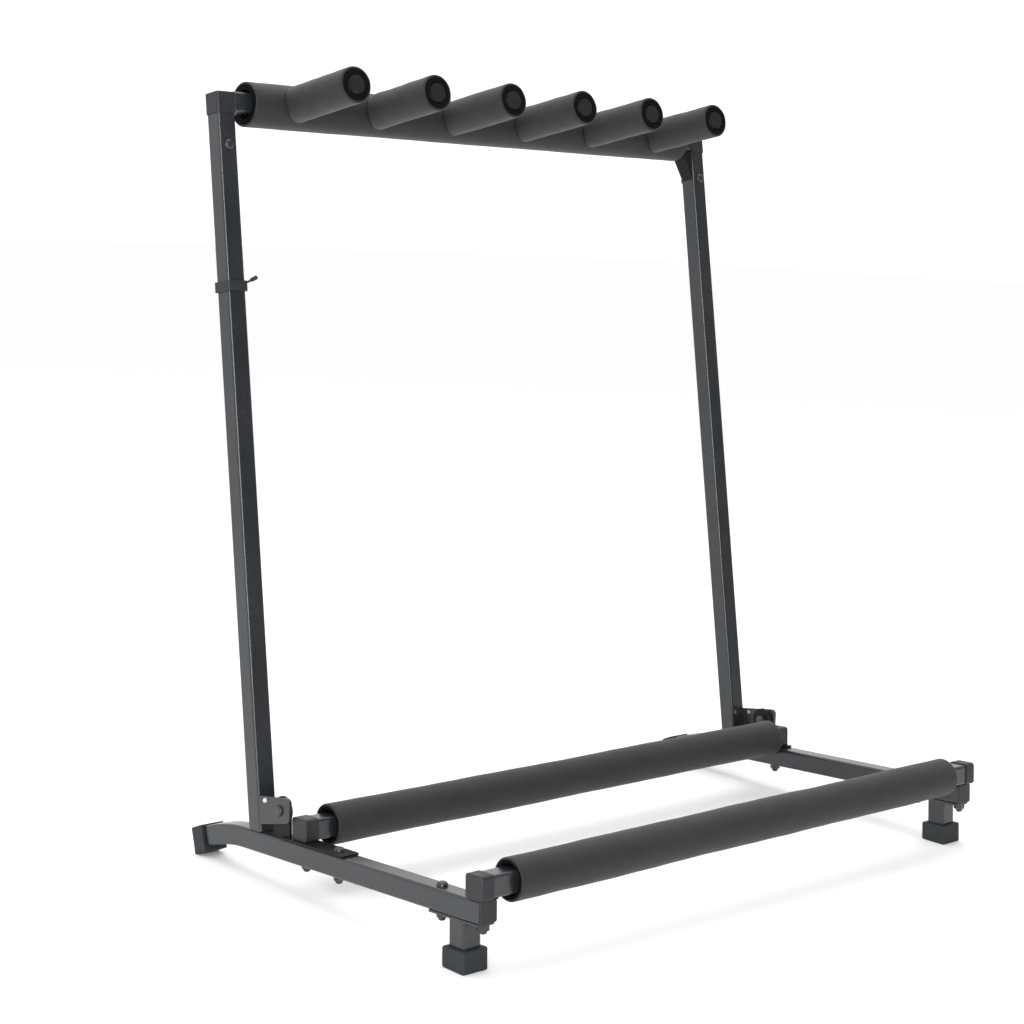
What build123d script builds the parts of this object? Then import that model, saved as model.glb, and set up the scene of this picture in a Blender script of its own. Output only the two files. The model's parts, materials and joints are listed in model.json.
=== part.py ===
from build123d import *
from math import cos, radians, sin, tan
import os

# Folding five-space guitar rack.
# Millimetres.  X runs along the crossbars (left is -X), Y from front to rear, Z up.
# The floor is Z = 0 and the origin sits on it under the middle of the rack.
os.makedirs("parts", exist_ok=True)

# ---------------------------------------------------------------- main sizes
TUBE = 20.0  # side of the square steel tube
TUBE_WALL = 1.5
TUBE_ROUND = 2.5  # outside corner radius of the tube
TUBE_INSIDE = TUBE - 2 * TUBE_WALL
LEG_X = 335.0  # centre of each leg and upright from the middle
BASE_CLIMB = 3.54  # degrees the legs climb toward the front
BACK_LEAN = 6.17  # degrees the back frame leans from square to the legs
PEG_CLIMB = 7.5  # degrees the neck pegs climb, measured from the legs
BASE_Y = 34.1  # where the rear bar bolt meets the leg underside
BASE_Z = 30.0

# Positions along the legs, measured from the rear bar bolt.
FRONT_BAR_Y = -251.5
LEG_FRONT_Y = -257.2
LEG_BEND_Y = 85.0
BEND_RADIUS = 190.0
BEND_ANGLE = 20.0
LEG_TAIL = 12.0
POST_Y = -228.0
POST_BOLT_Y = -198.0
SADDLE_BOLT_Y = -53.0
UPRIGHT_Y = 65.6
PIVOT_Y = 26.1
PIVOT_Z = 46.2
REAR_BOLT_X = 332.0  # the rear bar bolts sit a little inboard of the leg centres

# Hinge plates.
PLATE = 3.0
PLATE_GAP = 0.4
LUG_RADIUS = 13.0  # rounded top of the cheek, about the pivot
SADDLE_THICK = 2.0
SADDLE_REAR = 24.0
SADDLE_FRONT = {"left": -70.0, "right": -14.0}  # only the left plate has a second bolt

# Bars, foam and pegs.
BAR_LIFT = 1.0  # pad under the front bar
FRONT_BAR_END = 344.0
REAR_BAR_END = 339.4
CAP_WALL = 1.0
FRONT_CAP_DEPTH = 11.6
REAR_CAP_DEPTH = 13.0
FOAM_RADIUS = 19.5
FRONT_FOAM_ENDS = (-308.0, 307.0)
REAR_FOAM_ENDS = (-309.0, 323.0)
TOP_BAR_HEIGHT = 701.0  # along the upright from its foot
TOP_FOAM_RADIUS = 22.8
TOP_FOAM_HALF = 308.0
UPRIGHT_LENGTH = 708.0
PEG_COUNT = 6
PEG_PITCH = 102.0
PEG_RADIUS = 9.5
PEG_END = 112.5  # from the top bar axis
NECK_FOAM_RADIUS = 18.5
NECK_FOAM_END = 114.0
NECK_FOAM_START = 13.0

# Fasteners.
SHANK = 3.0  # radius of every bolt shank
SHANK_HOLE = 3.2  # clearance radius through tube walls
NUT_BORE = 3.05
RUNNING_BORE = 3.05  # the arm turns on the pivot bolt
NUT_SIZE = 5.6  # hexagon corner radius
RIVET_Y = 48.5  # bright rivets near the rear top corner of the hinge arms
RIVET_Z = 52.0
RIVET_SHANK = 1.5
RIVET_HEAD = 2.6


# ------------------------------------------------------------ shared frames
def tilted_frame(origin, angle):
    """Frame whose Z leans rearward by the angle; X stays across the rack."""
    lean = radians(angle)
    return Plane(origin=origin, x_dir=(1, 0, 0), z_dir=(0, sin(lean), cos(lean)))


def at(frame, x, y, z):
    """Point of a frame in rack coordinates."""
    return frame.from_local_coords(Vector(x, y, z))


def level(frame, z):
    """Plane square to the frame's Z at height z."""
    return frame.offset(z)


def side(frame, x):
    """Plane facing +X at position x; its axes are the frame's Y and Z."""
    return Plane(origin=at(frame, x, 0, 0), x_dir=frame.y_dir, z_dir=(1, 0, 0))


def face_rear(frame, y):
    """Plane facing the rear at position y; its axes are -X and the frame's Z."""
    return Plane(origin=at(frame, 0, y, 0), x_dir=(-1, 0, 0), z_dir=frame.y_dir)


BASE = tilted_frame((0, BASE_Y, BASE_Z), BASE_CLIMB)
BACK = tilted_frame(at(BASE, 0, UPRIGHT_Y, TUBE), BASE_CLIMB + BACK_LEAN)


def peg_frame(x):
    """Frame whose Z runs out along one neck peg from the top bar axis."""
    climb = radians(PEG_CLIMB + BASE_CLIMB)
    out = (0, -cos(climb), sin(climb))
    return Plane(origin=at(BACK, x, 0, TOP_BAR_HEIGHT), x_dir=(1, 0, 0), z_dir=out)


def save(piece, name):
    """Label one finished piece and write it to its own file."""
    piece.part.label = name
    export_step(piece.part, "parts/" + name + ".step")


SIDES = {"left": -1, "right": 1}
FRONT_BAR_Z = TUBE + BAR_LIFT + TUBE / 2
REAR_BAR_Z = TUBE + SADDLE_THICK + TUBE / 2


# ------------------------------------------------------------------ base legs
for name, hand in SIDES.items():
    middle = side(BASE, hand * LEG_X)
    with BuildPart() as leg:
        with BuildLine(middle) as leg_path:
            straight = Line((LEG_FRONT_Y, TUBE / 2), (LEG_BEND_Y, TUBE / 2))
            bend = CenterArc((LEG_BEND_Y, TUBE / 2 - BEND_RADIUS), BEND_RADIUS, 90, -BEND_ANGLE)
            PolarLine(bend @ 1, LEG_TAIL, -BEND_ANGLE)
        front_end = Plane(
            origin=at(BASE, hand * LEG_X, LEG_FRONT_Y, TUBE / 2), x_dir=(1, 0, 0), z_dir=BASE.y_dir
        )
        with BuildSketch(front_end):
            RectangleRounded(TUBE, TUBE, TUBE_ROUND)
            RectangleRounded(TUBE_INSIDE, TUBE_INSIDE, TUBE_ROUND - TUBE_WALL, mode=Mode.SUBTRACT)
        sweep(path=leg_path.wires()[0])
        # Bolt holes: front bar, post and rear bar, and the left saddle's own bolt.
        holes = [(hand * LEG_X, FRONT_BAR_Y), (hand * LEG_X, POST_BOLT_Y), (hand * REAR_BOLT_X, 0)]
        if name == "left":
            holes.append((-LEG_X, SADDLE_BOLT_Y))
        with BuildSketch(level(BASE, -5)):
            with Locations(*holes):
                Circle(SHANK_HOLE)
        extrude(amount=TUBE + 10, mode=Mode.SUBTRACT)
    save(leg, "leg_" + name)

    # Flat end plate closing the front end of the leg.
    with BuildPart() as front_plug:
        with BuildSketch(face_rear(BASE, LEG_FRONT_Y - 1.2)):
            with Locations((-hand * LEG_X, TUBE / 2)):
                RectangleRounded(TUBE - 0.6, TUBE - 0.6, TUBE_ROUND - 0.3)
        extrude(amount=1.2)
        chamfer(front_plug.faces().sort_by(Axis.Y)[0].edges(), 0.5)
    save(front_plug, "leg_front_plug_" + name)

    # Square rubber cap pushed over the rear end of the leg.
    with BuildPart() as rear_foot:
        with BuildSketch(side(BASE, hand * LEG_X - 13)):
            with BuildLine():
                Polyline(
                    (168.0, 4.6),
                    (161.2, -20.8),
                    (144.6, -14.6),
                    (151.6, 10.6),
                    close=True,
                )
            make_face()
        extrude(amount=26)
        fillet(rear_foot.edges().filter_by(Axis.X), 1.2)
        # Hollow for the tube end.
        tail_end = leg_path.wires()[0] @ 1
        tail_way = leg_path.wires()[0] % 1
        tail = Plane(origin=tail_end, x_dir=(1, 0, 0), z_dir=tail_way * -1)
        with BuildSketch(tail):
            RectangleRounded(TUBE + 0.2, TUBE + 0.2, TUBE_ROUND)
        extrude(amount=60, mode=Mode.SUBTRACT)
        # Flat underside resting on the floor.
        split(bisect_by=Plane.XY, keep=Keep.TOP)
    save(rear_foot, "rear_foot_" + name)


# ----------------------------------------------------------------- front feet
def floor_below(y):
    """Height of the floor in the base frame at position y along the legs."""
    drop = BASE_Z / cos(radians(BASE_CLIMB))
    return -drop + y * tan(radians(BASE_CLIMB))


FLANGE = 2.0
for name, hand in SIDES.items():
    # Short post with the flange that bolts it under the leg.
    with BuildPart() as post:
        with BuildSketch(level(BASE, -FLANGE)):
            with Locations((hand * LEG_X, (LEG_FRONT_Y + POST_BOLT_Y + 9) / 2)):
                RectangleRounded(TUBE - 1, POST_BOLT_Y - LEG_FRONT_Y + 7, 2)
        extrude(amount=FLANGE)
        with BuildSketch(level(BASE, -FLANGE - 36)):
            with Locations((hand * LEG_X, POST_Y)):
                RectangleRounded(TUBE, TUBE, TUBE_ROUND)
        extrude(amount=36)
        with BuildSketch(level(BASE, -FLANGE - 36)):
            with Locations((hand * LEG_X, POST_Y)):
                RectangleRounded(TUBE_INSIDE, TUBE_INSIDE, TUBE_ROUND - TUBE_WALL)
        extrude(amount=36, mode=Mode.SUBTRACT)
        with BuildSketch(level(BASE, -FLANGE - 1)):
            with Locations((hand * LEG_X, FRONT_BAR_Y), (hand * LEG_X, POST_BOLT_Y)):
                Circle(SHANK_HOLE)
        extrude(amount=FLANGE + 2, mode=Mode.SUBTRACT)
    save(post, "front_post_" + name)

    # Square rubber boot pushed up over the post.
    with BuildPart() as front_foot:
        with BuildSketch(level(BASE, -60)):
            with Locations((hand * LEG_X, POST_Y)):
                RectangleRounded(29, 29, 3)
        extrude(amount=60 - 25.4)
        chamfer(front_foot.faces().sort_by(Axis.Z)[-1].edges(), 1.0)
        with BuildSketch(level(BASE, -FLANGE - 36.2)):
            with Locations((hand * LEG_X, POST_Y)):
                RectangleRounded(TUBE + 0.2, TUBE + 0.2, TUBE_ROUND)
        extrude(amount=30, mode=Mode.SUBTRACT)
        split(bisect_by=Plane.XY, keep=Keep.TOP)
        chamfer(front_foot.faces().sort_by(Axis.Z)[0].outer_wire().edges(), 1.2)
    save(front_foot, "front_foot_" + name)


# ------------------------------------------------------------ lower crossbars
def bar_profile():
    """Hollow section of the square tube."""
    RectangleRounded(TUBE, TUBE, TUBE_ROUND)
    RectangleRounded(
        TUBE - 2 * TUBE_WALL, TUBE - 2 * TUBE_WALL, TUBE_ROUND - TUBE_WALL, mode=Mode.SUBTRACT
    )


BARS = {
    "front": (FRONT_BAR_Y, FRONT_BAR_Z, FRONT_BAR_END, FRONT_FOAM_ENDS, FRONT_CAP_DEPTH),
    "rear": (0.0, REAR_BAR_Z, REAR_BAR_END, REAR_FOAM_ENDS, REAR_CAP_DEPTH),
}
for name, (bar_y, bar_z, bar_end, foam_ends, cap_depth) in BARS.items():
    start = side(BASE, -bar_end)
    with BuildPart() as bar:
        with BuildSketch(start):
            with Locations((bar_y, bar_z)):
                bar_profile()
        extrude(amount=2 * bar_end)
        with BuildSketch(level(BASE, bar_z - TUBE / 2 - 1)):
            bolt_x = REAR_BOLT_X if name == "rear" else LEG_X
            with Locations((-bolt_x, bar_y), (bolt_x, bar_y)):
                Circle(SHANK_HOLE)
        extrude(amount=TUBE_WALL + 2, mode=Mode.SUBTRACT)
    save(bar, name + "_bar")

    # Foam sleeve with softened ends and a square way through for the tube.
    with BuildPart() as foam:
        foam_length = foam_ends[1] - foam_ends[0]
        with BuildSketch(side(BASE, foam_ends[0])):
            with Locations((bar_y, bar_z)):
                Circle(FOAM_RADIUS)
        extrude(amount=foam_length)
        ends = foam.faces().filter_by(Axis.X).edges()
        fillet(ends, 2.5)
        with BuildSketch(side(BASE, foam_ends[0])):
            with Locations((bar_y, bar_z)):
                RectangleRounded(TUBE + 0.4, TUBE + 0.4, TUBE_ROUND)
        extrude(amount=foam_length, mode=Mode.SUBTRACT)
    save(foam, name + "_bar_foam")

    # Push-on plastic caps closing the bar ends.
    for cap_name, hand in SIDES.items():
        with BuildPart() as cap:
            mouth = side(BASE, hand * (bar_end - cap_depth))
            with BuildSketch(mouth):
                with Locations((bar_y, bar_z)):
                    RectangleRounded(TUBE + 2 * CAP_WALL, TUBE + 2 * CAP_WALL, TUBE_ROUND + 0.8)
            extrude(amount=hand * (cap_depth + 2))
            tip = cap.faces().filter_by(Axis.X).sort_by(Axis.X)[-1 if hand > 0 else 0]
            chamfer(tip.edges(), 0.6)
            with BuildSketch(mouth):
                with Locations((bar_y, bar_z)):
                    RectangleRounded(TUBE + 0.1, TUBE + 0.1, TUBE_ROUND)
            extrude(amount=hand * (cap_depth + 0.1), mode=Mode.SUBTRACT)
            if name == "rear":
                # Open underneath, where the bar sits down on the saddle plate.
                with BuildSketch(level(BASE, bar_z - TUBE / 2 - 5)):
                    with Locations((hand * (bar_end - cap_depth / 2 + 1), bar_y)):
                        Rectangle(cap_depth + 6, TUBE + 8)
                extrude(amount=5, mode=Mode.SUBTRACT)
            else:
                # A hole lets the bar bolt through the lower wall.
                with BuildSketch(level(BASE, bar_z - TUBE / 2 - 5)):
                    with Locations((hand * LEG_X, bar_y)):
                        Circle(SHANK_HOLE + 0.4)
                extrude(amount=6, mode=Mode.SUBTRACT)
        save(cap, name + "_bar_cap_" + cap_name)


# ---------------------------------------------------------------- hinge plates
ARM_OUT = LEG_X + TUBE / 2  # outer face of the hinge arm, flush with the upright
CHEEK_OUT = ARM_OUT - PLATE - PLATE_GAP  # outer face of the cheek inside the arm
for name, hand in SIDES.items():
    # Saddle plate under the rear bar with an upright cheek behind the bar end.
    with BuildPart() as saddle:
        with BuildSketch(side(BASE, hand * (CHEEK_OUT - PLATE / 2) - PLATE / 2)):
            with BuildLine():
                Polyline(
                    (14.5, TUBE + 0.5),
                    (14.5, 42.0),
                    (38.0, 42.0),
                    (38.0, TUBE + 0.5),
                    close=True,
                )
            make_face()
            with Locations((PIVOT_Y, PIVOT_Z)):
                Circle(LUG_RADIUS)
        extrude(amount=PLATE)
        with BuildSketch(level(BASE, TUBE)):
            with Locations((hand * LEG_X, (SADDLE_REAR + SADDLE_FRONT[name]) / 2)):
                RectangleRounded(TUBE, SADDLE_REAR - SADDLE_FRONT[name], 1.5)
        extrude(amount=SADDLE_THICK)
        with BuildSketch(level(BASE, TUBE - 1)):
            with Locations((hand * REAR_BOLT_X, 0), (hand * LEG_X, SADDLE_BOLT_Y)):
                Circle(SHANK_HOLE)
        extrude(amount=SADDLE_THICK + 2, mode=Mode.SUBTRACT)
        with BuildSketch(side(BASE, hand * CHEEK_OUT - 5)):
            with Locations((PIVOT_Y, PIVOT_Z)):
                Circle(RUNNING_BORE)
        extrude(amount=10, mode=Mode.SUBTRACT)
    save(saddle, "hinge_saddle_" + name)


# -------------------------------------------------------------- base fasteners
def bolt(spot_frame, head_z, tip_z, spots, head_radius, head_height):
    """Domed bolts: head above head_z, shank down to tip_z, one per spot."""
    with BuildPart() as group:
        with BuildSketch(level(spot_frame, tip_z)):
            with Locations(*spots):
                Circle(SHANK)
        extrude(amount=head_z - tip_z)
        with BuildSketch(level(spot_frame, head_z)):
            with Locations(*spots):
                Circle(head_radius)
        extrude(amount=head_height)
        crowns = [f for f in group.faces().filter_by(GeomType.PLANE) if f.normal_at().Z > 0.9]
        top = max(spot_frame.to_local_coords(f.center()).Z for f in crowns)
        crowns = [f for f in crowns if spot_frame.to_local_coords(f.center()).Z > top - 0.01]
        fillet([e for f in crowns for e in f.edges()], head_height * 0.8)
    return group


BOLT_DROP = 5.2  # how far a shank reaches into its cap nut
front_spots = [(hand * LEG_X, FRONT_BAR_Y) for hand in (-1, 1)]
rear_spots = [(hand * REAR_BOLT_X, 0) for hand in (-1, 1)]
saddle_spots = [(-LEG_X, SADDLE_BOLT_Y)]
post_spots = [(hand * LEG_X, POST_BOLT_Y) for hand in (-1, 1)]

front_floor = FRONT_BAR_Z - TUBE / 2 + TUBE_WALL
rear_floor = REAR_BAR_Z - TUBE / 2 + TUBE_WALL
save(bolt(BASE, front_floor, -FLANGE - BOLT_DROP, front_spots, 4.8, 3.0), "front_bar_bolts")
save(bolt(BASE, rear_floor, -BOLT_DROP, rear_spots, 4.8, 3.0), "rear_bar_bolts")
save(bolt(BASE, TUBE + SADDLE_THICK, -BOLT_DROP, saddle_spots, 5.2, 3.6), "saddle_bolt")
save(bolt(BASE, TUBE, -FLANGE - BOLT_DROP, post_spots, 5.2, 4.0), "post_bolts")

# Hexagon cap nuts under the legs.
with BuildPart() as cap_nuts:
    for top, spots in (
        (-FLANGE, front_spots),
        (0.0, rear_spots),
        (0.0, saddle_spots),
        (-FLANGE, post_spots),
    ):
        with BuildSketch(level(BASE, top - 4.4)):
            with Locations(*spots):
                RegularPolygon(NUT_SIZE, 6)
        extrude(amount=4.4)
        with BuildSketch(level(BASE, top - 8.0)):
            with Locations(*spots):
                Circle(3.6)
        extrude(amount=4.0)
    tips = [
        f
        for f in cap_nuts.faces().filter_by(GeomType.PLANE)
        if f.normal_at().Z < -0.9 and BASE.to_local_coords(f.center()).Z < -7.5
    ]
    fillet([e for f in tips for e in f.edges()], 2.6)
    for top, spots in (
        (-FLANGE, front_spots),
        (0.0, rear_spots),
        (0.0, saddle_spots),
        (-FLANGE, post_spots),
    ):
        with BuildSketch(level(BASE, top - BOLT_DROP - 0.2)):
            with Locations(*spots):
                Circle(NUT_BORE)
        extrude(amount=BOLT_DROP + 0.2, mode=Mode.SUBTRACT)
save(cap_nuts, "cap_nuts")

# Nylon pads that lift the front bar clear of the leg tops.
with BuildPart() as bar_pads:
    with BuildSketch(level(BASE, TUBE)):
        for spot in front_spots:
            inboard = (spot[0] * (1 - 8.0 / LEG_X), spot[1])
            with Locations(inboard):
                RectangleRounded(3.4, TUBE - 2, 0.8)
    extrude(amount=BAR_LIFT)
save(bar_pads, "front_bar_pads")

# Pivot bolts: a button head just outside the arm, a hexagon nut inside the cheek.
HEAD_FACE = ARM_OUT + 0.1  # the arm turns under the head
for name, hand in SIDES.items():
    with BuildPart() as pivot:
        with BuildSketch(side(BASE, hand * HEAD_FACE)):
            with Locations((PIVOT_Y, PIVOT_Z)):
                Circle(5.4)
        extrude(amount=hand * 2.4)
        crown = pivot.faces().filter_by(Axis.X).sort_by(Axis.X)[-1 if hand > 0 else 0]
        fillet(crown.edges(), 1.8)
        with BuildSketch(side(BASE, hand * HEAD_FACE)):
            with Locations((PIVOT_Y, PIVOT_Z)):
                Circle(SHANK)
        extrude(amount=-hand * 11.0)
    save(pivot, "pivot_bolt_" + name)

    with BuildPart() as pivot_nut:
        with BuildSketch(side(BASE, hand * (CHEEK_OUT - PLATE))):
            with Locations((PIVOT_Y, PIVOT_Z)):
                RegularPolygon(NUT_SIZE, 6)
                Circle(NUT_BORE, mode=Mode.SUBTRACT)
        extrude(amount=-hand * 4.0)
    save(pivot_nut, "pivot_nut_" + name)

    # Thin washer between the two hinge plates.
    with BuildPart() as washer:
        with BuildSketch(side(BASE, hand * (CHEEK_OUT + PLATE_GAP - 0.05))):
            with Locations((PIVOT_Y, PIVOT_Z)):
                Circle(6.5)
                Circle(SHANK + 0.08, mode=Mode.SUBTRACT)
        extrude(amount=-hand * (PLATE_GAP - 0.1))
    save(washer, "pivot_washer_" + name)

# Bright rivets set in the rear top corner of each arm.
with BuildPart() as rivets:
    for hand in SIDES.values():
        with BuildSketch(side(BASE, hand * ARM_OUT)):
            with Locations((RIVET_Y, RIVET_Z)):
                Circle(RIVET_SHANK)
        extrude(amount=-hand * PLATE)
        with BuildSketch(side(BASE, hand * ARM_OUT)):
            with Locations((RIVET_Y, RIVET_Z)):
                Circle(RIVET_HEAD)
        extrude(amount=hand * 1.2, taper=25)
        with BuildSketch(side(BASE, hand * (ARM_OUT - PLATE))):
            with Locations((RIVET_Y, RIVET_Z)):
                Circle(RIVET_HEAD - 0.4)
        extrude(amount=-hand * 0.9)
save(rivets, "arm_rivets")


# ------------------------------------------------------------------ back frame
for name, hand in SIDES.items():
    with BuildPart() as upright:
        with BuildSketch(level(BACK, -3)):
            with Locations((hand * LEG_X, 0)):
                bar_profile()
        extrude(amount=UPRIGHT_LENGTH + 3)
        # The foot is cut parallel to the leg it rests on.
        split(bisect_by=level(BASE, TUBE + 0.3), keep=Keep.TOP)
        with BuildSketch(face_rear(BACK, -TUBE)):
            with Locations((-hand * LEG_X, UPRIGHT_LENGTH - 50)):
                Circle(SHANK_HOLE)
        extrude(amount=2 * TUBE, mode=Mode.SUBTRACT)
    save(upright, "upright_" + name)

    # Arm welded to the front of the upright, turning on the pivot bolt.
    with BuildPart() as arm:
        with BuildSketch(side(BASE, hand * (ARM_OUT - PLATE / 2) - PLATE / 2)):
            with BuildLine():
                Polyline(
                    (9.8, 59.8),
                    (72.0, 53.5),
                    (72.0, 25.5),
                    (11.0, 36.6),
                    close=True,
                )
            arm_face = make_face()
            fillet(arm_face.vertices().sort_by(Axis.X)[:2], 5)
            with Locations((PIVOT_Y, PIVOT_Z)):
                Circle(RUNNING_BORE, mode=Mode.SUBTRACT)
            with Locations((RIVET_Y, RIVET_Z)):
                Circle(RIVET_SHANK, mode=Mode.SUBTRACT)
        extrude(amount=PLATE)
        split(bisect_by=face_rear(BACK, -TUBE / 2), keep=Keep.BOTTOM)
    save(arm, "hinge_arm_" + name)

    # Push-on cap over the top of the upright, open on the inner side.
    with BuildPart() as top_cap:
        with BuildSketch(level(BACK, UPRIGHT_LENGTH - 19)):
            with Locations((hand * LEG_X, 0)):
                RectangleRounded(TUBE + 2 * CAP_WALL, TUBE + 2 * CAP_WALL, TUBE_ROUND + 0.8)
        extrude(amount=19 + 2)
        with BuildSketch(level(BACK, UPRIGHT_LENGTH - 19)):
            with Locations((hand * LEG_X, 0)):
                RectangleRounded(TUBE + 0.1, TUBE + 0.1, TUBE_ROUND)
        extrude(amount=19.1, mode=Mode.SUBTRACT)
        with BuildSketch(level(BACK, UPRIGHT_LENGTH - 19)):
            with Locations((hand * (LEG_X - TUBE / 2 - 2), 0)):
                Rectangle(4.1, TUBE + 4)
        extrude(amount=24, mode=Mode.SUBTRACT)
        roof = max(
            top_cap.faces().filter_by(GeomType.PLANE),
            key=lambda f: BACK.to_local_coords(f.center()).Z,
        )
        chamfer(roof.edges(), 0.6)
    save(top_cap, "upright_cap_" + name)

# Folded gusset under the right end of the top bar: two cheeks joined by a web.
with BuildPart() as gusset:
    inner_face = LEG_X - TUBE / 2
    under = TOP_BAR_HEIGHT - TUBE / 2
    with BuildSketch(face_rear(BACK, -8)):
        with BuildLine():
            Polyline(
                (-inner_face, under),
                (-inner_face + 16.5, under),
                (-inner_face, under - 35),
                close=True,
            )
        make_face()
    extrude(amount=16)
    with BuildSketch(face_rear(BACK, -6.4)):
        with BuildLine():
            Polyline(
                (-inner_face - 1, under + 1),
                (-inner_face + 14.9, under + 1),
                (-inner_face - 1, under - 31.3),
                close=True,
            )
        make_face()
    extrude(amount=12.8, mode=Mode.SUBTRACT)
save(gusset, "gusset")

with BuildPart() as top_bar:
    reach = LEG_X - TUBE / 2
    with BuildSketch(side(BACK, -reach)):
        with Locations((0, TOP_BAR_HEIGHT)):
            bar_profile()
    extrude(amount=2 * reach)
save(top_bar, "top_bar")

# Bolts through the uprights below the top bar, heads to the front.
bolt_height = UPRIGHT_LENGTH - 50
with BuildPart() as frame_bolts:
    for hand in (-1, 1):
        with BuildSketch(face_rear(BACK, -TUBE / 2 - 3.2)):
            with Locations((-hand * LEG_X, bolt_height)):
                Circle(5.2)
        extrude(amount=3.2)
    heads = [f for f in frame_bolts.faces().filter_by(GeomType.PLANE)
             if BACK.to_local_coords(f.center()).Y < -TUBE / 2 - 3]
    fillet([e for f in heads for e in f.edges()], 2.6)
    for hand in (-1, 1):
        with BuildSketch(face_rear(BACK, -TUBE / 2)):
            with Locations((-hand * LEG_X, bolt_height)):
                Circle(SHANK)
        extrude(amount=TUBE + 5.0)
save(frame_bolts, "upright_bolts")

with BuildPart() as frame_nuts:
    for hand in (-1, 1):
        with BuildSketch(face_rear(BACK, TUBE / 2)):
            with Locations((-hand * LEG_X, bolt_height)):
                RegularPolygon(NUT_SIZE, 6)
        extrude(amount=4.4)
        with BuildSketch(face_rear(BACK, TUBE / 2 + 4.0)):
            with Locations((-hand * LEG_X, bolt_height)):
                Circle(3.6)
        extrude(amount=4.0)
    tips = [f for f in frame_nuts.faces().filter_by(GeomType.PLANE)
            if BACK.to_local_coords(f.center()).Y > TUBE / 2 + 7.5]
    fillet([e for f in tips for e in f.edges()], 2.6)
    for hand in (-1, 1):
        with BuildSketch(face_rear(BACK, TUBE / 2)):
            with Locations((-hand * LEG_X, bolt_height)):
                Circle(NUT_BORE)
        extrude(amount=5.2, mode=Mode.SUBTRACT)
save(frame_nuts, "upright_nuts")

# Band clipped round the left upright, with its short upturned tail.
BAND_HEIGHT = 520.0
with BuildPart() as band:
    with BuildSketch(level(BACK, BAND_HEIGHT - 5)):
        with Locations((-LEG_X, 0)):
            RectangleRounded(TUBE + 4.4, TUBE + 4.4, 3.6)
            RectangleRounded(TUBE + 0.2, TUBE + 0.2, TUBE_ROUND, mode=Mode.SUBTRACT)
    extrude(amount=10)
    tail_frame = Plane(
        origin=at(BACK, -LEG_X + 9.5, -TUBE / 2 - 1.0, BAND_HEIGHT + 2.6),
        x_dir=(0, 1, 0),
        z_dir=(cos(radians(28)), -0.15, sin(radians(28))),
    )
    with BuildSketch(tail_frame):
        Circle(1.1)
    extrude(amount=8)
    with BuildSketch(tail_frame.offset(6.5)):
        Circle(2.0)
    extrude(amount=6.5)
save(band, "upright_band")


# --------------------------------------------------- pegs, foam and end plugs
peg_spots = [(index - (PEG_COUNT - 1) / 2) * PEG_PITCH for index in range(PEG_COUNT)]
front_of_bar = face_rear(BACK, -TUBE / 2)
for index, x in enumerate(peg_spots):
    frame = peg_frame(x)
    number = str(index + 1)
    with BuildPart() as peg:
        with BuildSketch(level(frame, 6)):
            Circle(PEG_RADIUS)
            Circle(PEG_RADIUS - TUBE_WALL, mode=Mode.SUBTRACT)
        extrude(amount=PEG_END - 6)
        split(bisect_by=front_of_bar, keep=Keep.BOTTOM)
    save(peg, "neck_peg_" + number)

    with BuildPart() as neck_foam:
        with BuildSketch(level(frame, NECK_FOAM_START)):
            Circle(NECK_FOAM_RADIUS)
        extrude(amount=NECK_FOAM_END - NECK_FOAM_START)
        fillet(neck_foam.edges().filter_by(GeomType.CIRCLE).sort_by(Axis.Y)[0], 2.2)
        with BuildSketch(level(frame, NECK_FOAM_START)):
            Circle(PEG_RADIUS + 0.2)
        extrude(amount=NECK_FOAM_END - NECK_FOAM_START, mode=Mode.SUBTRACT)
        # The root is hollowed to sit against the round foam of the top bar.
        with BuildSketch(side(BACK, x - 30)):
            with Locations((0, TOP_BAR_HEIGHT)):
                Circle(TOP_FOAM_RADIUS + 0.3)
        extrude(amount=60, mode=Mode.SUBTRACT)
    save(neck_foam, "neck_foam_" + number)

# Domed plugs pressed into the open peg ends.
with BuildPart() as plugs:
    for x in peg_spots:
        frame = peg_frame(x)
        with BuildSketch(level(frame, PEG_END - 12)):
            Circle(PEG_RADIUS - TUBE_WALL - 0.05)
        extrude(amount=12)
        with BuildSketch(level(frame, PEG_END)):
            Circle(PEG_RADIUS)
        extrude(amount=1.4)
save(plugs, "neck_plugs")

# Foam sleeve on the top bar, cut open where the pegs come through.
with BuildPart() as top_foam:
    with BuildSketch(side(BACK, -TOP_FOAM_HALF)):
        with Locations((0, TOP_BAR_HEIGHT)):
            Circle(TOP_FOAM_RADIUS)
    extrude(amount=2 * TOP_FOAM_HALF)
    fillet(top_foam.faces().filter_by(Axis.X).edges(), 2.2)
    with BuildSketch(side(BACK, -TOP_FOAM_HALF)):
        with Locations((0, TOP_BAR_HEIGHT)):
            RectangleRounded(TUBE + 0.4, TUBE + 0.4, TUBE_ROUND)
    extrude(amount=2 * TOP_FOAM_HALF, mode=Mode.SUBTRACT)
    for x in peg_spots:
        with BuildSketch(level(peg_frame(x), 2)):
            Circle(PEG_RADIUS + 0.25)
        extrude(amount=30, mode=Mode.SUBTRACT)
save(top_foam, "top_bar_foam")
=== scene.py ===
import json
import math

import bpy
import numpy as np
from mathutils import Matrix, Vector


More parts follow.
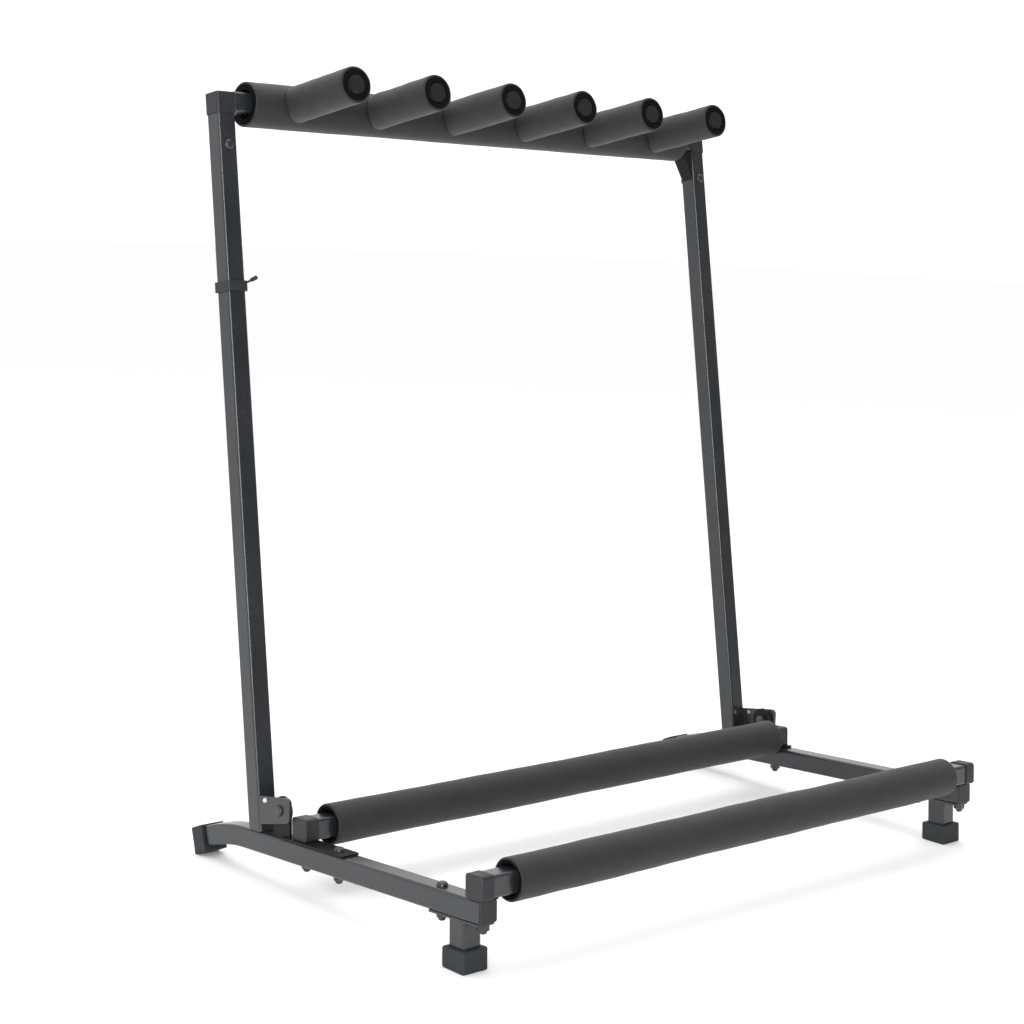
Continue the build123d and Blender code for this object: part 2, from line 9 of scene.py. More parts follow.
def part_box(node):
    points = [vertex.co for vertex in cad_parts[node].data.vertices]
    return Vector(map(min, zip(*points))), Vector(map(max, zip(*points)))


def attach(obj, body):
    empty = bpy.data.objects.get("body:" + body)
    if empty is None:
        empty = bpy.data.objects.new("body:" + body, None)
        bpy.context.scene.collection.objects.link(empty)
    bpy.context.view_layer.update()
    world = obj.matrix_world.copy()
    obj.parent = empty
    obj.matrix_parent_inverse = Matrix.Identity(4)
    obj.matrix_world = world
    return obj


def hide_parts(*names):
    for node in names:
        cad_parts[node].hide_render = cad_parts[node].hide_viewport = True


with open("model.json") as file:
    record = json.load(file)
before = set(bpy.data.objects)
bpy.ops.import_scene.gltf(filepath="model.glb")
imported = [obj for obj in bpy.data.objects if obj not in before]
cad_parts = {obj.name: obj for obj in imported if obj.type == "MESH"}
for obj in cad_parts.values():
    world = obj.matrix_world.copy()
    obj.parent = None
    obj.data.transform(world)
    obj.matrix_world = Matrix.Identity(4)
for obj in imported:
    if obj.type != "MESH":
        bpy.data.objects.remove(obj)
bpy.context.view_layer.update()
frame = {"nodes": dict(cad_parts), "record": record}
NODES = frame["nodes"]

# ------------------------------------------------------------------ sizes, metres
BAR_BORE = 0.0139         # foam bore over a square bar, clear of its corners
PEG_BORE = 0.0098         # foam bore over a neck peg
LIP = 0.0016              # rounded rim of a foam end
END_WANDER = 0.0004       # mean set-back of an uneven cut end
WANDER_REACH = 0.004      # how far in from an end its unevenness fades
DISH = 0.0005             # depth of the shallow hollow in a cut end
WORN_TONE = (0.20, 0.205, 0.215, 1)    # steel showing at worn corners
END_GAP = 0.0004          # a bar sleeve stops this far inside its CAD box
PEG_GAP = 0.0003          # a peg sleeve stops this far inside its CAD box
PEG_CLIMB = math.radians(11.04)  # the neck pegs rise this much toward the front
PEG_REACH = 0.114         # from the top bar axis to the round end of a neck foam
COPE_RADIUS = 0.0235      # hollow at a neck foam root, round the top bar foam


def middle(node):
    """Centre of a CAD node's box."""
    low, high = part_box(node)
    return np.array((low + high) / 2)


# ------------------------------------------------------------------ node groups
def group(name, inputs, outputs):
    """A new shader node group with named sockets; gives (group, nodes, links, in, out)."""
    tree = bpy.data.node_groups.new(name, "ShaderNodeTree")
    for label, kind, value in inputs:
        socket = tree.interface.new_socket(label, in_out="INPUT", socket_type=kind)
        if value is not None:
            socket.default_value = value
    for label, kind in outputs:
        tree.interface.new_socket(label, in_out="OUTPUT", socket_type=kind)
    start = tree.nodes.new("NodeGroupInput")
    end = tree.nodes.new("NodeGroupOutput")
    return tree, tree.nodes, tree.links, start, end


FLOAT = "NodeSocketFloat"
COLOR = "NodeSocketColor"
VECTOR = "NodeSocketVector"


def math_node(nodes, links, how, a, b=None, c=None, clamp=False):
    """One Math node; a, b and c are numbers or sockets. Gives its output."""
    node = nodes.new("ShaderNodeMath")
    node.operation = how
    node.use_clamp = clamp
    for slot, value in enumerate((a, b, c)):
        if value is None:
            continue
        if isinstance(value, (int, float)):
            node.inputs[slot].default_value = value
        else:
            links.new(value, node.inputs[slot])
    return node.outputs[0]


def noise(nodes, links, place, scale, detail=3.0, rough=0.5):
    """A Noise texture read at a place, at scale features per metre."""
    node = nodes.new("ShaderNodeTexNoise")
    links.new(place, node.inputs["Vector"])
    if isinstance(scale, (int, float)):
        node.inputs["Scale"].default_value = scale
    else:
        links.new(scale, node.inputs["Scale"])
    node.inputs["Detail"].default_value = detail
    node.inputs["Roughness"].default_value = rough
    return node.outputs["Fac"]


def spread(nodes, links, value, low, high, to_low=0.0, to_high=1.0):
    """Map Range from low..high to to_low..to_high, held at its ends."""
    node = nodes.new("ShaderNodeMapRange")
    node.clamp = True
    links.new(value, node.inputs["Value"])
    node.inputs["From Min"].default_value = low
    node.inputs["From Max"].default_value = high
    for label, bound in (("To Min", to_low), ("To Max", to_high)):
        if isinstance(bound, (int, float)):
            node.inputs[label].default_value = bound
        else:
            links.new(bound, node.inputs[label])
    return node.outputs["Result"]


def mix(nodes, links, amount, a, b):
    """Colour mix of a and b."""
    node = nodes.new("ShaderNodeMix")
    node.data_type = "RGBA"
    node.clamp_factor = True
    if isinstance(amount, (int, float)):
        node.inputs[0].default_value = amount
    else:
        links.new(amount, node.inputs[0])
    for slot, value in ((6, a), (7, b)):
        if isinstance(value, (tuple, list)):
            node.inputs[slot].default_value = value
        else:
            links.new(value, node.inputs[slot])
    return node.outputs[2]


def build_fine_coat():
    """Powder coat skin: fine pebble, slow waviness, cloudy tone and a few dull rubs."""
    tree, nodes, links, start, end = group(
        "fine coat skin",
        [("Place", VECTOR, None), ("Pebble Scale", FLOAT, 1500.0), ("Cloud Scale", FLOAT, 14.0),
         ("Tone", COLOR, (0.02, 0.02, 0.02, 1)), ("Pale Tone", COLOR, (0.03, 0.03, 0.03, 1)),
         ("Low Roughness", FLOAT, 0.3), ("High Roughness", FLOAT, 0.5)],
        [("Color", COLOR), ("Roughness", FLOAT), ("Height", FLOAT)])
    place = start.outputs["Place"]
    pebble = noise(nodes, links, place, start.outputs["Pebble Scale"], 2.0, 0.6)
    orange_peel = noise(nodes, links, place, 320.0, 2.0, 0.5)
    cloud = noise(nodes, links, place, start.outputs["Cloud Scale"], 4.0, 0.6)
    speck = noise(nodes, links, place, 900.0, 1.0, 0.4)
    rub_field = noise(nodes, links, place, 55.0, 5.0, 0.72)
    rub = spread(nodes, links, rub_field, 0.60, 0.72)
    tone = mix(nodes, links, spread(nodes, links, cloud, 0.3, 0.7),
               start.outputs["Tone"], start.outputs["Pale Tone"])
    flecks = spread(nodes, links, speck, 0.62, 0.78, 0.0, 0.35)
    tone = mix(nodes, links, flecks, tone, start.outputs["Pale Tone"])
    links.new(tone, end.inputs["Color"])
    mixed = math_node(nodes, links, "MULTIPLY_ADD", cloud, 0.6,
                      math_node(nodes, links, "MULTIPLY", pebble, 0.4))
    rough = spread(nodes, links, mixed, 0.3, 0.7, start.outputs["Low Roughness"],
                   start.outputs["High Roughness"])
    rough = math_node(nodes, links, "MULTIPLY_ADD", rub, 0.10, rough, clamp=True)
    links.new(rough, end.inputs["Roughness"])
    height = math_node(nodes, links, "MULTIPLY_ADD", pebble, 0.55,
                       math_node(nodes, links, "MULTIPLY", orange_peel, 0.45))
    links.new(height, end.inputs["Height"])
    return tree


def build_edge_wear():
    """Bright worn line where two faces meet: rounded normal against true normal."""
    tree, nodes, links, start, end = group(
        "worn corners",
        [("Place", VECTOR, None), ("Breaks Scale", FLOAT, 60.0), ("Strength", FLOAT, 0.5)],
        [("Wear", FLOAT)])
    bevel = nodes.new("ShaderNodeBevel")
    bevel.samples = 6
    bevel.inputs["Radius"].default_value = 0.0009
    geometry = nodes.new("ShaderNodeNewGeometry")
    dot = nodes.new("ShaderNodeVectorMath")
    dot.operation = "DOT_PRODUCT"
    links.new(bevel.outputs["Normal"], dot.inputs[0])
    links.new(geometry.outputs["Normal"], dot.inputs[1])
    edge = spread(nodes, links, dot.outputs["Value"], 0.999, 0.90)
    breaks = noise(nodes, links, start.outputs["Place"], start.outputs["Breaks Scale"], 5.0, 0.7)
    patchy = spread(nodes, links, breaks, 0.42, 0.62)
    wear = math_node(nodes, links, "MULTIPLY", edge, patchy)
    wear = math_node(nodes, links, "MULTIPLY", wear, start.outputs["Strength"], clamp=True)
    links.new(wear, end.inputs["Wear"])
    return tree


def build_foam_skin():
    """Closed-cell foam skin: fine cells, stretched extrusion streaks, soft scuffs."""
    tree, nodes, links, start, end = group(
        "foam skin",
        [("Along", VECTOR, None), ("Place", VECTOR, None), ("Cell Scale", FLOAT, 1400.0),
         ("Tone", COLOR, (0.03, 0.03, 0.03, 1)), ("Pale Tone", COLOR, (0.05, 0.05, 0.05, 1))],
        [("Color", COLOR), ("Roughness", FLOAT), ("Height", FLOAT)])
    place = start.outputs["Place"]
    cells = nodes.new("ShaderNodeTexVoronoi")
    links.new(place, cells.inputs["Vector"])
    links.new(start.outputs["Cell Scale"], cells.inputs["Scale"])
    cells.inputs["Randomness"].default_value = 0.9
    streak = noise(nodes, links, start.outputs["Along"], 1.0, 4.0, 0.6)
    grain = noise(nodes, links, place, 620.0, 3.0, 0.6)
    cloud = noise(nodes, links, place, 26.0, 4.0, 0.6)
    scuff_field = noise(nodes, links, place, 75.0, 5.0, 0.75)
    scuff = spread(nodes, links, scuff_field, 0.60, 0.74)
    blend = math_node(nodes, links, "MULTIPLY_ADD", cloud, 0.55,
                      math_node(nodes, links, "MULTIPLY", streak, 0.45))
    tone = mix(nodes, links, spread(nodes, links, blend, 0.35, 0.65),
               start.outputs["Tone"], start.outputs["Pale Tone"])
    tone = mix(nodes, links, math_node(nodes, links, "MULTIPLY", scuff, 0.30), tone,
               start.outputs["Pale Tone"])
    pores = spread(nodes, links, cells.outputs["Distance"], 0.0, 0.22, 0.35, 0.0)
    tone = mix(nodes, links, pores, tone, (0.008, 0.008, 0.009, 1))
    links.new(tone, end.inputs["Color"])
    rough = spread(nodes, links, blend, 0.3, 0.7, 0.62, 0.78)
    links.new(rough, end.inputs["Roughness"])
    height = math_node(nodes, links, "MULTIPLY_ADD", cells.outputs["Distance"], 0.35,
                       math_node(nodes, links, "MULTIPLY", grain, 0.5))
    height = math_node(nodes, links, "MULTIPLY_ADD", streak, 0.35, height)
    links.new(height, end.inputs["Height"])
    return tree


def build_moulded_skin():
    """Moulded plastic or rubber skin: spark-eroded grain, faint flow marks, dusty patches."""
    tree, nodes, links, start, end = group(
        "moulded skin",
        [("Place", VECTOR, None), ("Grain Scale", FLOAT, 1800.0),
         ("Tone", COLOR, (0.02, 0.02, 0.02, 1)), ("Dust Tone", COLOR, (0.06, 0.06, 0.06, 1)),
         ("Dust", FLOAT, 0.2), ("Low Roughness", FLOAT, 0.5), ("High Roughness", FLOAT, 0.75)],
        [("Color", COLOR), ("Roughness", FLOAT), ("Height", FLOAT)])
    place = start.outputs["Place"]
    grain = noise(nodes, links, place, start.outputs["Grain Scale"], 2.0, 0.55)
    flow = nodes.new("ShaderNodeTexWave")
    flow.wave_type = "BANDS"
    flow.bands_direction = "Z"
    links.new(place, flow.inputs["Vector"])
    flow.inputs["Scale"].default_value = 45.0
    flow.inputs["Distortion"].default_value = 9.0
    flow.inputs["Detail"].default_value = 3.0
    flow.inputs["Detail Scale"].default_value = 2.0
    patch = noise(nodes, links, place, 85.0, 4.0, 0.65)
    dust = spread(nodes, links, patch, 0.45, 0.75)
    dust = math_node(nodes, links, "MULTIPLY", dust, start.outputs["Dust"])
    tone = mix(nodes, links, dust, start.outputs["Tone"], start.outputs["Dust Tone"])
    links.new(tone, end.inputs["Color"])
    rough = spread(nodes, links, patch, 0.3, 0.7, start.outputs["Low Roughness"],
                   start.outputs["High Roughness"])
    links.new(rough, end.inputs["Roughness"])
    height = math_node(nodes, links, "MULTIPLY_ADD", flow.outputs["Fac"], 0.12,
                       math_node(nodes, links, "MULTIPLY", grain, 0.7))
    links.new(height, end.inputs["Height"])
    return tree


FINE_COAT = build_fine_coat()
WORN_CORNERS = build_edge_wear()
FOAM_SKIN = build_foam_skin()
MOULDED_SKIN = build_moulded_skin()


# ------------------------------------------------------------------ materials
def begin(name):
    """An empty material with its Principled shader and Object coordinates."""
    material = bpy.data.materials.new(name)
    material.use_nodes = True
    nodes = material.node_tree.nodes
    links = material.node_tree.links
    shader = nodes["Principled BSDF"]
    place = nodes.new("ShaderNodeTexCoord").outputs["Object"]
    return material, nodes, links, shader, place


def use(nodes, links, tree, values, place):
    """Put a node group in a material, fed with the place and its own values."""
    node = nodes.new("ShaderNodeGroup")
    node.node_tree = tree
    links.new(place, node.inputs["Place"])
    for label, value in values.items():
        node.inputs[label].default_value = value
    return node


def relief(nodes, links, shader, height, distance, strength, rounding=0.0):
    """Bump node from a height socket into the shader's Normal, on softened corners."""
    bump = nodes.new("ShaderNodeBump")
    if rounding:
        bevel = nodes.new("ShaderNodeBevel")
        bevel.samples = 8
        bevel.inputs["Radius"].default_value = rounding
        links.new(bevel.outputs["Normal"], bump.inputs["Normal"])
    bump.inputs["Distance"].default_value = distance
    bump.inputs["Strength"].default_value = strength
    links.new(height, bump.inputs["Height"])
    links.new(bump.outputs["Normal"], shader.inputs["Normal"])


def coated_steel(name, tone, pale, low, high, pebble, wear, bump=0.35, rounding=0.0,
                 specular=0.5):
    """Satin coat over steel, with worn corners and, given a rounding, softened ones."""
    material, nodes, links, shader, place = begin(name)
    skin = use(nodes, links, FINE_COAT, {
        "Pebble Scale": pebble, "Tone": tone, "Pale Tone": pale,
        "Low Roughness": low, "High Roughness": high}, place)
    worn = use(nodes, links, WORN_CORNERS, {"Strength": wear}, place)
    color = mix(nodes, links, worn.outputs["Wear"], skin.outputs["Color"], WORN_TONE)
    links.new(color, shader.inputs["Base Color"])
    rough = math_node(nodes, links, "MULTIPLY_ADD", worn.outputs["Wear"], -0.12,
                      skin.outputs["Roughness"], clamp=True)
    links.new(rough, shader.inputs["Roughness"])
    shader.inputs["Specular IOR Level"].default_value = specular
    shader.inputs["Coat Weight"].default_value = 0.24 * specular
    shader.inputs["Coat Roughness"].default_value = 0.32
    relief(nodes, links, shader, skin.outputs["Height"], 0.00012, bump, rounding)
    return material


def moulded(name, tone, dusty, dust, low, high, grain, bump=0.35, specular=0.4):
    """Moulded plastic or rubber."""
    material, nodes, links, shader, place = begin(name)
    skin = use(nodes, links, MOULDED_SKIN, {
        "Grain Scale": grain, "Tone": tone, "Dust Tone": dusty, "Dust": dust,
        "Low Roughness": low, "High Roughness": high}, place)
    links.new(skin.outputs["Color"], shader.inputs["Base Color"])
    links.new(skin.outputs["Roughness"], shader.inputs["Roughness"])
    shader.inputs["Specular IOR Level"].default_value = specular
    relief(nodes, links, shader, skin.outputs["Height"], 0.00010, bump)
    return material


def plated_metal(name, tone, pale, low, high):
    """Bright zinc plate with fine grain and dull spots."""
    material, nodes, links, shader, place = begin(name)
    skin = use(nodes, links, FINE_COAT, {
        "Pebble Scale": 2600.0, "Cloud Scale": 160.0, "Tone": tone, "Pale Tone": pale,
        "Low Roughness": low, "High Roughness": high}, place)
    links.new(skin.outputs["Color"], shader.inputs["Base Color"])
    links.new(skin.outputs["Roughness"], shader.inputs["Roughness"])
    shader.inputs["Metallic"].default_value = 1.0
    relief(nodes, links, shader, skin.outputs["Height"], 0.00004, 0.3)
    return material


CUT_END_SHADE_TONE = (0.0045, 0.0045, 0.005, 1)  # painted shade on the cut foam ends and in the bore


def foam(name, tone, pale, cell):
    """Closed-cell foam skin, with painted shade on the cut ends and in the bore: near-black
    colour, little specular, no sheen. The sleeve's own UV map runs the streaks along it."""
    material, nodes, links, shader, place = begin(name)
    uv = nodes.new("ShaderNodeUVMap")
    uv.uv_map = "sleeve"
    stretch = nodes.new("ShaderNodeMapping")
    stretch.inputs["Scale"].default_value = (28.0, 3.5, 1.0)
    links.new(uv.outputs["UV"], stretch.inputs["Vector"])
    skin = use(nodes, links, FOAM_SKIN, {
        "Cell Scale": cell, "Tone": tone, "Pale Tone": pale}, place)
    links.new(stretch.outputs["Vector"], skin.inputs["Along"])
    cut = nodes.new("ShaderNodeAttribute")
    cut.attribute_name = "cut"
    # painted shade: the cut ends and the bore take the near-black tone
    color = mix(nodes, links, cut.outputs["Fac"], skin.outputs["Color"], CUT_END_SHADE_TONE)
    links.new(color, shader.inputs["Base Color"])
    links.new(skin.outputs["Roughness"], shader.inputs["Roughness"])
    shine = spread(nodes, links, cut.outputs["Fac"], 0.0, 1.0, 0.35, 0.03)
    links.new(shine, shader.inputs["Specular IOR Level"])
    nap = spread(nodes, links, cut.outputs["Fac"], 0.0, 1.0, 0.10, 0.0)
    links.new(nap, shader.inputs["Sheen Weight"])
    shader.inputs["Sheen Roughness"].default_value = 0.5
    shader.inputs["Sheen Tint"].default_value = (0.9, 0.92, 0.95, 1)
    relief(nodes, links, shader, skin.outputs["Height"], 0.00018, 0.5)
    return material


TUBE_COAT = coated_steel("satin charcoal powder coat", (0.010, 0.012, 0.014, 1),
                         (0.016, 0.018, 0.021, 1), 0.20, 0.31, 1500.0, 0.30,
                         bump=0.30, rounding=0.0016)
PLATE_COAT = coated_steel("black coat on pressed plate", (0.010, 0.011, 0.012, 1),
                          (0.017, 0.018, 0.020, 1), 0.32, 0.46, 1900.0, 0.30)
BLACK_OXIDE = coated_steel("black oxide fastener", (0.008, 0.008, 0.009, 1),
                           (0.020, 0.020, 0.022, 1), 0.24, 0.38, 2600.0, 0.5, 0.25)
CAP_PLASTIC = moulded("moulded cap plastic", (0.011, 0.012, 0.014, 1), (0.032, 0.034, 0.036, 1),
                      0.25, 0.42, 0.60, 1700.0)
NYLON = moulded("black nylon", (0.009, 0.009, 0.010, 1), (0.022, 0.022, 0.024, 1),
                0.2, 0.35, 0.5, 2400.0)
PLUG_PLASTIC = moulded("dull plug plastic", (0.009, 0.009, 0.010, 1), (0.020, 0.020, 0.021, 1),
                       0.3, 0.45, 0.65, 1500.0, specular=0.2)
FOOT_RUBBER = moulded("foot rubber", (0.014, 0.017, 0.019, 1), (0.038, 0.041, 0.044, 1),
                      0.30, 0.55, 0.80, 1300.0, 0.45, 0.35)
ZINC = plated_metal("bright zinc", (0.55, 0.56, 0.58, 1), (0.72, 0.73, 0.74, 1), 0.22, 0.4)
SLEEVE_FOAM = foam("charcoal sleeve foam", (0.0090, 0.0086, 0.0088, 1),
                   (0.0160, 0.0152, 0.0154, 1), 1300.0)
# painted shade: a darker copy of the plate coat for the hinge saddles and gussets
SADDLE_SHADE_COAT = coated_steel("dark saddle and gusset coat with painted shade", (0.004, 0.004, 0.005, 1),
                           (0.008, 0.008, 0.009, 1), 0.40, 0.55, 1900.0, 0.15, specular=0.12)

FINISHES = {
    "powder_coat": TUBE_COAT, "plate_coat": PLATE_COAT, "black_fastener": BLACK_OXIDE,
    "cap_plastic": CAP_PLASTIC, "nylon": NYLON, "foot_rubber": FOOT_RUBBER, "zinc": ZINC,
    "foam": SLEEVE_FOAM,
}
# The hinge saddles and gussets get a darker coat than their slot, painted shade where they sit in
# shadow; the neck plugs get a duller plastic.
for entry in frame["record"]["subparts"]:
    piece = NODES[entry["node"]]
    piece.data.materials.clear()
    finish = FINISHES[entry["material_slot"]]
    # painted shade on the saddles and gussets
    if entry["node"].startswith(("hinge_saddle", "gusset")):
        finish = SADDLE_SHADE_COAT
    if entry["node"] == "neck_plugs":
        finish = PLUG_PLASTIC
    piece.data.materials.append(finish)


# ------------------------------------------------------------------ foam sleeves
def sleeve(name, node, body, start, end, radius, bore, waves, seed, cope=0.0):
    """Foam tube from start to end. A closed profile (rounded outer rim, outer skin, rounded
    rim, shallow dished end, bore) is turned about the axis: point = axis(s) + r(s)*ring(u).
    The outer radius swells and shrinks by slow sines in s and u, and the cut ends wander by
    a few tenths of a millimetre so that they aren't machine flat. With a cope radius the
    near end is pushed out to sqrt(cope^2 - height^2), the outline of a bar along X."""
    rng = np.random.default_rng(seed)
    start = np.array(start, float)
    end = np.array(end, float)
    length = float(np.linalg.norm(end - start))
    way = (end - start) / length
    across = np.cross(way, (0.0, 0.0, 1.0)) if abs(way[2]) < 0.9 else np.cross(way, (1.0, 0, 0))
    across /= np.linalg.norm(across)
    upward = np.cross(across, way)
    around = 96
    bore_rings = 12
    spans = max(24, int(length / 0.006))
    turn = np.linspace(0, 0.5 * np.pi, 6)
    # Outer skin from the near rim to the far rim, then down the far end and back in the bore.
    skin_s = np.linspace(LIP, length - LIP, spans)
    near_s, near_r = LIP - LIP * np.cos(turn[:-1]), radius - LIP + LIP * np.sin(turn[:-1])
    far_s = length - LIP + LIP * np.sin(turn[1:])
    far_r = radius - LIP + LIP * np.cos(turn[1:])
    face_r = np.linspace(radius - LIP - 0.0008, bore + 0.0006, 7)
    dish = DISH * np.sin(np.pi * np.linspace(0.15, 1.0, 7)) + 0.00015
    bore_s = np.linspace(length - 0.001, 0.001, bore_rings)
    s = np.concatenate((near_s, skin_s, far_s, length - dish, bore_s, dish[::-1]))
    r = np.concatenate((near_r, np.full(spans, radius), far_r, face_r,
                        np.full(bore_rings, bore), face_r[::-1]))
    angle = np.linspace(0, 2 * np.pi, around, endpoint=False)
    S, A = np.meshgrid(s, angle, indexing="ij")
    R = np.repeat(r[:, None], around, 1)
    outer = np.clip((R - bore) / (radius - bore), 0, 1)
    swell = np.zeros_like(S)
    for size, long_count, round_count in waves:
        phase = rng.uniform(0, 2 * np.pi, 2)
        swell += size * np.sin(2 * np.pi * long_count * S / length + phase[0]) * np.cos(
            round_count * A + phase[1])
    R = R + swell * outer
    ragged = 0.00025 * np.sin(3 * A + rng.uniform(0, 6))
    ragged = ragged + 0.00012 * np.sin(7 * A + rng.uniform(0, 6))
    side_sign = np.where(S > length / 2, 1.0, -1.0)
    near_end = np.exp(-np.minimum(S, length - S) / WANDER_REACH)
    S = S - side_sign * near_end * (END_WANDER + ragged)
    if cope:
        hollow = np.sqrt(cope ** 2 - np.minimum(np.abs(R * np.sin(A)), 0.98 * cope) ** 2)
        S = hollow + S * (length - hollow) / length
    ring = np.cos(A)[..., None] * across + np.sin(A)[..., None] * upward
    points = start + S[..., None] * way + R[..., None] * ring
    rows, cols = A.shape
    index = np.arange(rows * cols).reshape(rows, cols)
    next_row = np.roll(index, -1, 0)
    quads = np.stack((index, next_row, np.roll(next_row, -1, 1), np.roll(index, -1, 1)), -1)
    quads = quads.reshape(-1, 4)
    mesh = bpy.data.meshes.new(name)
    mesh.from_pydata(points.reshape(-1, 3), [], quads.tolist())
    path = np.concatenate(((0,), np.cumsum(np.hypot(np.diff(s), np.diff(r)))))
    u0, v0 = np.meshgrid(np.arange(cols), np.arange(rows))
    around_m = 2 * np.pi * radius / cols
    run = np.append(path, path[-1] + 0.001)
    uv = np.stack((
        np.stack((u0, u0, u0 + 1, u0 + 1), -1) * around_m,
        np.stack((run[v0], run[v0 + 1], run[v0 + 1], run[v0]), -1)), -1)
    layer = mesh.uv_layers.new(name="sleeve")
    layer.data.foreach_set("uv", uv.astype(np.float32).ravel())
    # "cut" is 0 on the outer skin and its rims, and 1 on the cut ends and in the bore, where the
    # foam material paints shade.
    skin_rings = len(near_s) + spans + len(far_s)
    is_cut = np.ones(rows)
    is_cut[:skin_rings] = 0.0
    cut = mesh.attributes.new("cut", "FLOAT", "POINT")
    cut.data.foreach_set("value", np.repeat(is_cut, cols).astype(np.float32))
    mesh.polygons.foreach_set("use_smooth", np.ones(len(quads), bool))
    mesh.update()
    piece = bpy.data.objects.new(name, mesh)
    bpy.context.scene.collection.objects.link(piece)
    face_out(piece)
    mesh.materials.append(SLEEVE_FOAM)
    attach(piece, body)
    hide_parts(node)


def face_out(piece):
    """Turn the mesh inside out if its signed volume is negative."""
    mesh = piece.data
    count = len(mesh.polygons)
    corners = np.empty(count * 4, np.int32)
    mesh.polygons.foreach_get("vertices", corners)
    co = np.empty(len(mesh.vertices) * 3)
    mesh.vertices.foreach_get("co", co)
    co = co.reshape(-1, 3)
    a, b, c, d = (co[corners.reshape(-1, 4)[:, i]] for i in range(4))
    volume = (np.cross(a, b) * c).sum() + (np.cross(a, c) * d).sum()
    if volume < 0:
        mesh.flip_normals()


WAVES = ((0.00022, 3.0, 0), (0.00016, 7.0, 2), (0.00012, 13.0, 3), (0.00025, 1.5, 1))
SHORT_WAVES = ((0.00018, 1.2, 0), (0.00015, 2.3, 2), (0.00010, 4.0, 3))


def bar_sleeve(name, node, body, seed):
    """Sleeve on a crossbar: it fills the CAD node's box along X."""
    low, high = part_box(node)
    centre = middle(node)
    radius = (high.z - low.z) / 2 - END_GAP
    start = (low.x + END_GAP, centre[1], centre[2])
    end = (high.x - END_GAP, centre[1], centre[2])
    sleeve(name, node, body, start, end, radius, BAR_BORE, WAVES, seed)


def peg_sleeve(number):
    """Sleeve on one neck peg: the peg's way is forward and up at the peg's climb."""
    node = "neck_foam_%d" % number
    low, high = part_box(node)
    x = (low.x + high.x) / 2
    radius = (high.x - low.x) / 2 - PEG_GAP
    way = np.array((0.0, -math.cos(PEG_CLIMB), math.sin(PEG_CLIMB)))
    # The round end's centre is in from the box's front by the radius times the sine.
    tip = np.array((x, low.y + radius * math.sin(PEG_CLIMB),
                    high.z - radius * math.cos(PEG_CLIMB)))
    axis = tip - way * PEG_REACH
    sleeve("foam_sleeve_peg_%d" % number, node, "back_frame", axis, tip - way * PEG_GAP,
           radius, PEG_BORE, SHORT_WAVES, 40 + number, COPE_RADIUS)


bar_sleeve("foam_sleeve_front", "front_bar_foam", "base", 11)
bar_sleeve("foam_sleeve_rear", "rear_bar_foam", "base", 12)
bar_sleeve("foam_sleeve_top", "top_bar_foam", "back_frame", 13)
for number in range(1, 7):
    peg_sleeve(number)


# ------------------------------------------------------------------ stage, light, camera
def plain(name, color, rough):
    """Plain matt material for the floor."""
    material = bpy.data.materials.new(name)
    material.use_nodes = True
    shader = material.node_tree.nodes["Principled BSDF"]
    shader.inputs["Base Color"].default_value = color
    shader.inputs["Roughness"].default_value = rough
    shader.inputs["Specular IOR Level"].default_value = 0.0
    return material


floor_mesh = bpy.data.meshes.new("studio_floor")
FLOOR_HALF = 30.0
floor_mesh.from_pydata([(-FLOOR_HALF, -FLOOR_HALF, 0), (FLOOR_HALF, -FLOOR_HALF, 0),
                        (FLOOR_HALF, FLOOR_HALF, 0), (-FLOOR_HALF, FLOOR_HALF, 0)],
                       [], [(0, 1, 2, 3)])
floor = bpy.data.objects.new("studio_floor", floor_mesh)
bpy.context.scene.collection.objects.link(floor)
floor_mesh.materials.append(plain("pale floor", (0.92, 0.92, 0.92, 1), 0.9))

bpy.context.scene.view_settings.view_transform = "Standard"

# White studio: bright overhead and to the rear, dimmer towards the front of the rack.
world = bpy.data.worlds.new("white studio")
bpy.context.scene.world = world
world.use_nodes = True
sky, joins = world.node_tree.nodes, world.node_tree.links
heading = sky.new("ShaderNodeSeparateXYZ")
joins.new(sky.new("ShaderNodeTexCoord").outputs["Generated"], heading.inputs["Vector"])
rearward = math_node(sky, joins, "MULTIPLY_ADD", heading.outputs["Z"], 0.55, heading.outputs["Y"])
rearward = math_node(sky, joins, "MULTIPLY_ADD", heading.outputs["X"], -0.25, rearward)
glow = spread(sky, joins, rearward, -0.75, 0.15, 0.20, 1.22)
joins.new(glow, sky["Background"].inputs["Strength"])
sky["Background"].inputs["Color"].default_value = (1.0, 1.0, 1.0, 1)


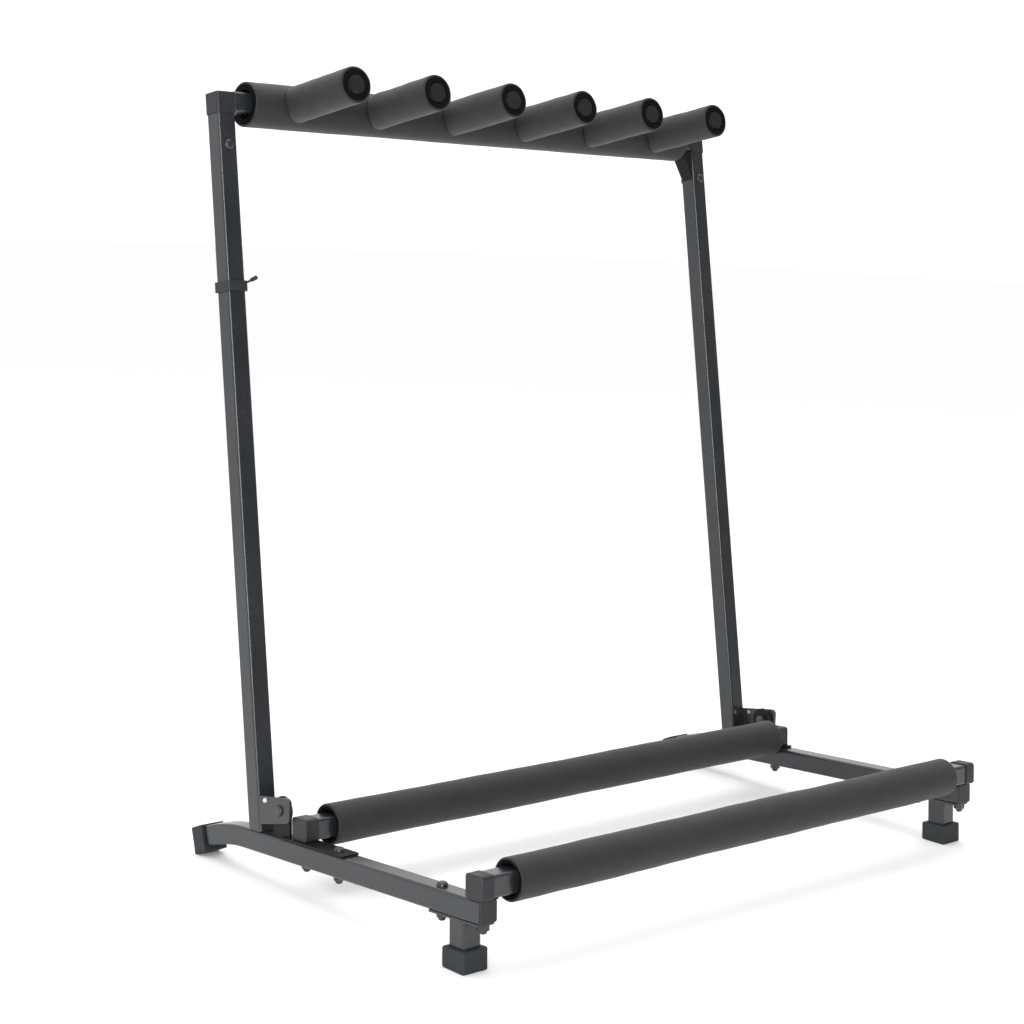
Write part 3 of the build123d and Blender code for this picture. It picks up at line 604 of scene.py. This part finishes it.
def soft_light(name, spot, target, size, power):
    """Rectangular area light at a spot, turned to a target."""
    lamp = bpy.data.lights.new(name, "AREA")
    lamp.shape = "RECTANGLE"
    lamp.size, lamp.size_y = size
    lamp.energy = power
    holder = bpy.data.objects.new(name, lamp)
    holder.location = spot
    holder.rotation_euler = (Vector(target) - Vector(spot)).to_track_quat("-Z", "Y").to_euler()
    bpy.context.scene.collection.objects.link(holder)


soft_light("key_overhead", (0.3, 0.4, 2.6), (0, 0, 0.3), (2.2, 2.2), 30)
soft_light("corner_strip", (-2.2, -2.1, 0.95), (-0.34, 0, 0.4), (0.55, 1.6), 66)

CAMERA_SPOT = Vector((-1.4947, -1.4932, 0.6321))
YAW, PITCH, ROLL = (math.radians(a) for a in (42.262, -3.62, 2.688))
IMAGE_SIDE = 1024.0
SENSOR = 36.0
FOCAL_LENGTH = 2091.24    # in 1024ths of the image width
VIEW_CENTRE = (509.92, 356.16)
ahead = Vector((math.sin(YAW) * math.cos(PITCH), math.cos(YAW) * math.cos(PITCH),
                math.sin(PITCH)))
right = Vector((math.cos(YAW), -math.sin(YAW), 0.0))
above = right.cross(ahead)
camera_x = math.cos(ROLL) * right + math.sin(ROLL) * above
camera_y = -math.sin(ROLL) * right + math.cos(ROLL) * above
lens = bpy.data.cameras.new("camera")
lens.lens = FOCAL_LENGTH / IMAGE_SIDE * SENSOR
lens.sensor_width = SENSOR
lens.sensor_fit = "HORIZONTAL"
lens.shift_x = (IMAGE_SIDE / 2 - VIEW_CENTRE[0]) / IMAGE_SIDE
lens.shift_y = -(IMAGE_SIDE / 2 - VIEW_CENTRE[1]) / IMAGE_SIDE
lens.clip_start = 0.05
camera = bpy.data.objects.new("camera", lens)
camera.matrix_world = Matrix((
    (camera_x.x, camera_y.x, -ahead.x, CAMERA_SPOT.x),
    (camera_x.y, camera_y.y, -ahead.y, CAMERA_SPOT.y),
    (camera_x.z, camera_y.z, -ahead.z, CAMERA_SPOT.z),
    (0, 0, 0, 1)))
bpy.context.scene.collection.objects.link(camera)
bpy.context.scene.camera = camera
